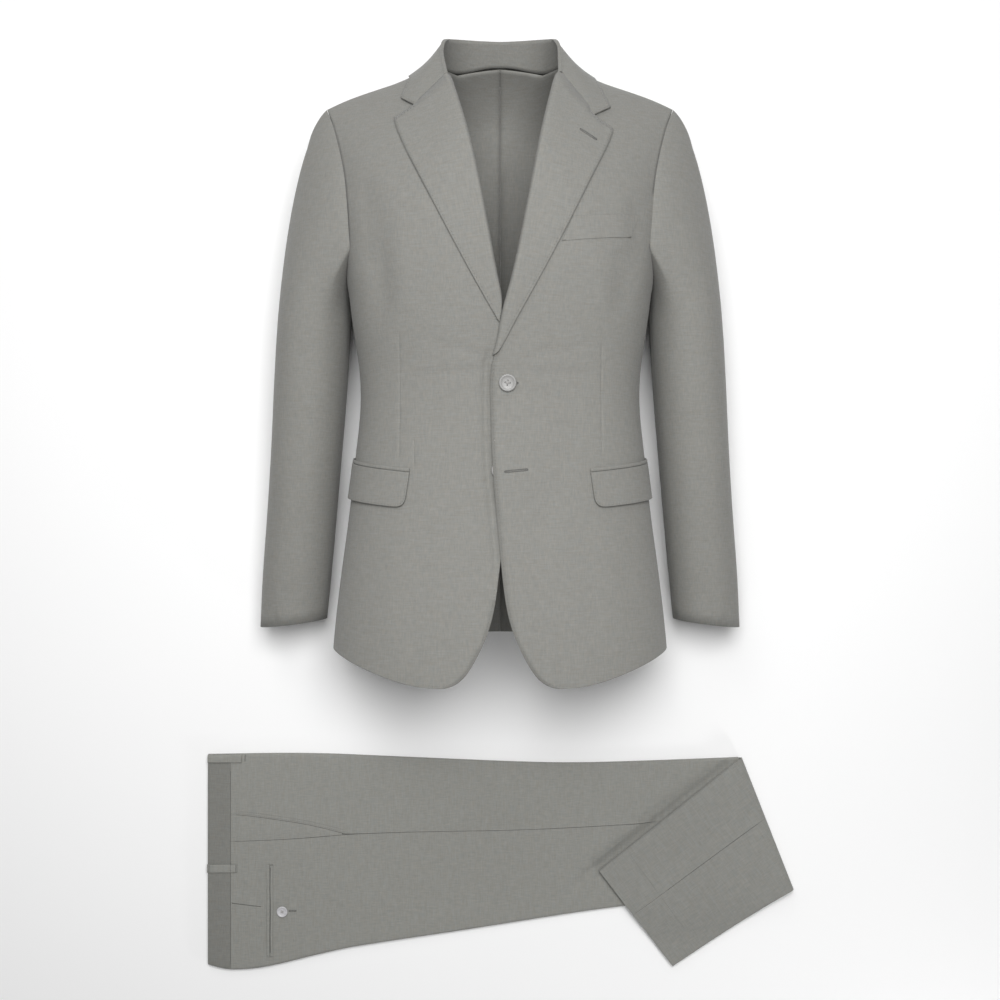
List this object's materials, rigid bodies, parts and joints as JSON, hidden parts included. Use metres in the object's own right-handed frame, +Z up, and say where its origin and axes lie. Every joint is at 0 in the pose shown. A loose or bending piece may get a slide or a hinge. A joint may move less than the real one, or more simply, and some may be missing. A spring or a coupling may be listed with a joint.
{
  "type": "two-piece suit",
  "caption": "Single-breasted notch-lapel suit: a filled-out jacket lying on its back above trousers folded flat with the leg end turned back.",
  "frame": {"origin": "middle of the whole set's outline, on the flat surface both garments lie on", "axes": "+X towards the wearer's left sleeve, +Y from the trousers towards the jacket's collar, +Z up away from the surface, which is the way the garments' fronts face"},
  "size_m": [0.8018, 1.2464, 0.2525],
  "materials": {
    "jacket_cloth": "matt plain weave with faint slubs",
    "trouser_cloth": "matt plain weave with faint slubs",
    "button_plastic": "pale, satin, with a raised rim"
  },
  "bodies": {
    "root": {"front_left": "jacket_cloth", "front_right": "jacket_cloth", "side_left": "jacket_cloth", "side_right": "jacket_cloth", "back_left": "jacket_cloth", "back_right": "jacket_cloth", "lapel_left": "jacket_cloth", "lapel_right": "jacket_cloth", "collar": "jacket_cloth", "sleeve_left_top": "jacket_cloth", "sleeve_left_under": "jacket_cloth", "sleeve_right_top": "jacket_cloth", "sleeve_right_under": "jacket_cloth", "flap_left": "jacket_cloth", "flap_right": "jacket_cloth", "jetting_left": "jacket_cloth", "jetting_right": "jacket_cloth", "breast_welt": "jacket_cloth", "button_front_upper": "button_plastic", "button_front_lower": "button_plastic", "leg_front_panel": "trouser_cloth", "leg_back_panel": "trouser_cloth", "pocket_front_piece": "trouser_cloth", "waistband": "trouser_cloth", "leg_inner_layers": "trouser_cloth", "turned_front_panel": "trouser_cloth", "turned_back_panel": "trouser_cloth", "turned_inner_layers": "trouser_cloth", "back_pocket_welt_upper": "trouser_cloth", "back_pocket_welt_lower": "trouser_cloth", "belt_loop_front": "trouser_cloth", "belt_loop_side": "trouser_cloth", "button_back_pocket": "button_plastic"}
  },
  "joints": []
}
